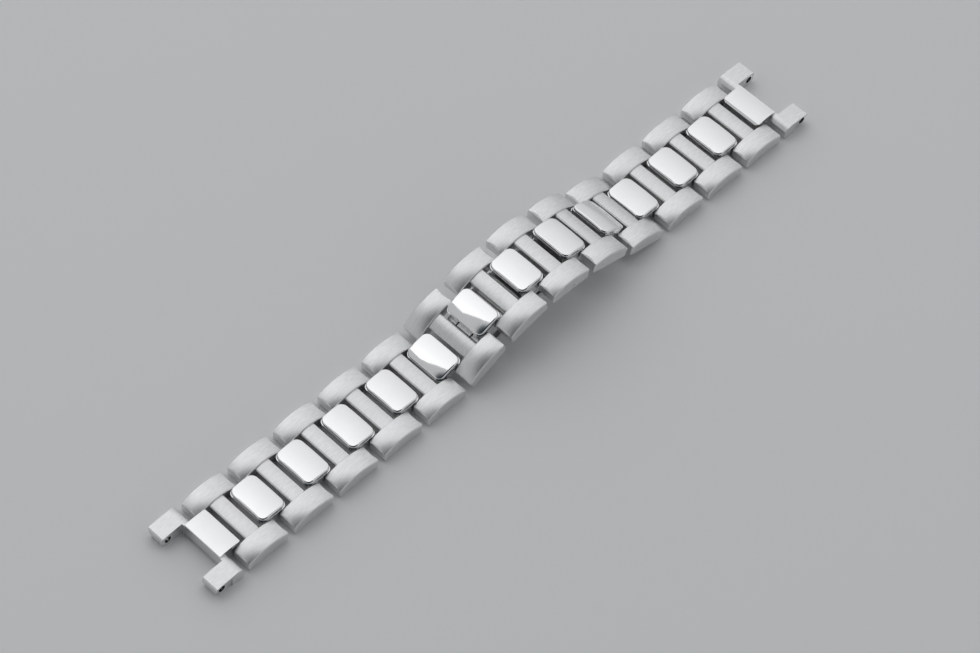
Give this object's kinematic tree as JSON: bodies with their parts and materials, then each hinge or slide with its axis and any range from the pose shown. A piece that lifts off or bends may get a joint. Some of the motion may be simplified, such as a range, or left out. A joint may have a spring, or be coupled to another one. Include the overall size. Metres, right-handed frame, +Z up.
{
  "type": "link watch bracelet",
  "caption": "Steel link bracelet for a watch: brushed side links, polished centre links and a hidden folding clasp, with notched ends for the case.",
  "frame": {"origin": "middle of the bracelet on the table it lies on, at the bottom of its box", "axes": "+X along the bracelet towards the end on the release lever side, +Y across it, +Z up, away from the wrist side"},
  "size_m": [0.1582, 0.018, 0.0112],
  "materials": {
    "brushed_link": "fine brushed grain along the bracelet, crisp polished edges",
    "brushed_bar": "fine brushed grain along the bracelet",
    "polished_link": "mirror polished stainless steel",
    "blade_steel": "satin, polished along its edges",
    "pin_steel": "ground",
    "bush_steel": "polished"
  },
  "bodies": {
    "clasp_base": {"clasp_blade_inner": "blade_steel", "clasp_hinge_pin": "pin_steel"},
    "clasp_arm": {"clasp_blade_outer": "blade_steel"},
    "link_01": {"side_links_01": "brushed_link", "cross_bar_01": "brushed_bar", "link_pins_01": "pin_steel"},
    "link_02": {"side_links_02": "brushed_link", "cross_bar_02": "brushed_bar", "link_pins_02": "pin_steel"},
    "link_03": {"side_links_03": "brushed_link", "cross_bar_03": "brushed_bar", "link_pins_03": "pin_steel"},
    "link_04": {"side_links_04": "brushed_link", "cross_bar_04": "brushed_bar", "link_pins_04": "pin_steel"},
    "link_05": {"side_links_05": "brushed_link", "cross_bar_05": "brushed_bar", "link_pins_05": "pin_steel"},
    "link_06": {"side_links_06": "brushed_link", "cross_bar_06": "brushed_bar", "link_pins_06": "pin_steel"},
    "link_07": {"side_links_07": "brushed_link", "cross_bar_07": "brushed_bar", "link_pins_07": "pin_steel"},
    "link_08": {"side_links_08": "brushed_link", "cross_bar_08": "brushed_bar", "link_pins_08": "pin_steel"},
    "link_09": {"side_links_09": "brushed_link", "cross_bar_09": "brushed_bar", "link_pins_09": "pin_steel"},
    "link_10": {"side_links_10": "brushed_link", "cross_bar_10": "brushed_bar", "link_pins_10": "pin_steel"},
    "link_11": {"side_links_11": "brushed_link", "cross_bar_11": "brushed_bar", "link_pins_11": "pin_steel"},
    "link_12": {"side_links_12": "brushed_link", "cross_bar_12": "brushed_bar", "link_pins_12": "pin_steel"},
    "link_13": {"side_links_13": "brushed_link", "cross_bar_13": "brushed_bar", "link_pins_13": "pin_steel"},
    "centre_01": {"centre_link_01": "polished_link"},
    "centre_02": {"centre_link_02": "polished_link"},
    "centre_03": {"centre_link_03": "polished_link"},
    "centre_04": {"centre_link_04": "polished_link"},
    "centre_05": {"centre_link_05": "polished_link"},
    "centre_06": {"centre_link_06": "polished_link"},
    "centre_07": {"centre_link_07": "polished_link"},
    "centre_08": {"centre_link_08": "polished_link"},
    "release_lever": {"release_lever": "polished_link"},
    "centre_10": {"centre_link_10": "polished_link"},
    "centre_11": {"centre_link_11": "polished_link"},
    "centre_12": {"centre_link_12": "polished_link"},
    "end_a": {"end_lugs_a": "brushed_link", "end_plate_a": "polished_link", "lug_bushes_a": "bush_steel"},
    "end_b": {"end_lugs_b": "brushed_link", "end_plate_b": "polished_link", "lug_bushes_b": "bush_steel"}
  },
  "joints": [
    {"name": "clasp_fold", "type": "hinge", "parent": "clasp_base", "child": "clasp_arm", "pos_m": [-0.00756, 0, 0.003], "axis": [0, -1, 0], "range_deg": [0, 136]},
    {"name": "clasp_link_hinge", "type": "hinge", "parent": "clasp_arm", "child": "link_09", "pos_m": [0.02547, 0, 0.00586], "axis": [0, -1, 0], "range_deg": [-136, 0]},
    {"name": "release_lever_hinge", "type": "hinge", "parent": "link_09", "child": "release_lever", "pos_m": [0.02547, 0, 0.00586], "axis": [0, -1, 0], "range_deg": [0, 40.8]},
    {"name": "link_09_to_centre_08", "type": "hinge", "parent": "link_09", "child": "centre_08", "pos_m": [0.01861, 0, 0.00802], "axis": [0, -1, 0], "range_deg": [-18, 0]},
    {"name": "centre_08_to_link_08", "type": "hinge", "parent": "centre_08", "child": "link_08", "pos_m": [0.01462, 0, 0.00873], "axis": [0, 1, 0], "range_deg": [0, 32.46]},
    {"name": "link_08_to_centre_07", "type": "hinge", "parent": "link_08", "child": "centre_07", "pos_m": [0.00742, 0, 0.00905], "axis": [0, -1, 0], "range_deg": [-18, 0]},
    {"name": "centre_07_to_link_07", "type": "hinge", "parent": "centre_07", "child": "link_07", "pos_m": [0.00339, 0, 0.00871], "axis": [0, 1, 0], "range_deg": [0, 32.46]},
    {"name": "link_07_to_centre_06", "type": "hinge", "parent": "link_07", "child": "centre_06", "pos_m": [-0.00364, 0, 0.00717], "axis": [0, -1, 0], "range_deg": [-18, 0]},
    {"name": "centre_06_to_link_06", "type": "hinge", "parent": "centre_06", "child": "link_06", "pos_m": [-0.00745, 0, 0.0058], "axis": [0, 1, 0], "range_deg": [-12, 32.46]},
    {"name": "link_06_to_centre_05", "type": "hinge", "parent": "link_06", "child": "centre_05", "pos_m": [-0.01386, 0, 0.0025], "axis": [0, -1, 0], "range_deg": [-13.51, 51.49]},
    {"name": "centre_05_to_link_05", "type": "hinge", "parent": "centre_05", "child": "link_05", "pos_m": [-0.01775, 0, 0.0014], "axis": [0, 1, 0], "range_deg": [-55.76, 9.24]},
    {"name": "link_05_to_centre_04", "type": "hinge", "parent": "link_05", "child": "centre_04", "pos_m": [-0.02495, 0, 0.0014], "axis": [0, -1, 0], "range_deg": [-25, 40]},
    {"name": "centre_04_to_link_04", "type": "hinge", "parent": "centre_04", "child": "link_04", "pos_m": [-0.029, 0, 0.0014], "axis": [0, 1, 0], "range_deg": [-40, 25]},
    {"name": "link_04_to_centre_03", "type": "hinge", "parent": "link_04", "child": "centre_03", "pos_m": [-0.0362, 0, 0.0014], "axis": [0, -1, 0], "range_deg": [-25, 40]},
    {"name": "centre_03_to_link_03", "type": "hinge", "parent": "centre_03", "child": "link_03", "pos_m": [-0.04025, 0, 0.0014], "axis": [0, 1, 0], "range_deg": [-40, 25]},
    {"name": "link_03_to_centre_02", "type": "hinge", "parent": "link_03", "child": "centre_02", "pos_m": [-0.04745, 0, 0.0014], "axis": [0, -1, 0], "range_deg": [-25, 40]},
    {"name": "centre_02_to_link_02", "type": "hinge", "parent": "centre_02", "child": "link_02", "pos_m": [-0.0515, 0, 0.0014], "axis": [0, 1, 0], "range_deg": [-40, 25]},
    {"name": "link_02_to_centre_01", "type": "hinge", "parent": "link_02", "child": "centre_01", "pos_m": [-0.0587, 0, 0.0014], "axis": [0, -1, 0], "range_deg": [-25, 40]},
    {"name": "centre_01_to_link_01", "type": "hinge", "parent": "centre_01", "child": "link_01", "pos_m": [-0.06275, 0, 0.0014], "axis": [0, 1, 0], "range_deg": [-40, 25]},
    {"name": "link_01_to_end_a", "type": "hinge", "parent": "link_01", "child": "end_a", "pos_m": [-0.06995, 0, 0.0014], "axis": [0, -1, 0], "range_deg": [-25, 40]},
    {"name": "clasp_base_to_link_10", "type": "hinge", "parent": "clasp_base", "child": "link_10", "pos_m": [0.02932, 0, 0.00362], "axis": [0, 1, 0], "range_deg": [-20, 25]},
    {"name": "link_10_to_centre_10", "type": "hinge", "parent": "link_10", "child": "centre_10", "pos_m": [0.03621, 0, 0.00151], "axis": [0, -1, 0], "range_deg": [-55.37, 9.63]},
    {"name": "centre_10_to_link_11", "type": "hinge", "parent": "centre_10", "child": "link_11", "pos_m": [0.04025, 0, 0.0014], "axis": [0, 1, 0], "range_deg": [-23.37, 41.63]},
    {"name": "link_11_to_centre_11", "type": "hinge", "parent": "link_11", "child": "centre_11", "pos_m": [0.04745, 0, 0.0014], "axis": [0, -1, 0], "range_deg": [-40, 25]},
    {"name": "centre_11_to_link_12", "type": "hinge", "parent": "centre_11", "child": "link_12", "pos_m": [0.0515, 0, 0.0014], "axis": [0, 1, 0], "range_deg": [-25, 40]},
    {"name": "link_12_to_centre_12", "type": "hinge", "parent": "link_12", "child": "centre_12", "pos_m": [0.0587, 0, 0.0014], "axis": [0, -1, 0], "range_deg": [-40, 25]},
    {"name": "centre_12_to_link_13", "type": "hinge", "parent": "centre_12", "child": "link_13", "pos_m": [0.06275, 0, 0.0014], "axis": [0, 1, 0], "range_deg": [-25, 40]},
    {"name": "link_13_to_end_b", "type": "hinge", "parent": "link_13", "child": "end_b", "pos_m": [0.06995, 0, 0.0014], "axis": [0, -1, 0], "range_deg": [-40, 25]}
  ],
  "couplings": [
    {"joint": "clasp_link_hinge", "follows": "clasp_fold", "ratio": -1},
    {"joint": "release_lever_hinge", "follows": "clasp_fold", "ratio": 0.3}
  ]
}
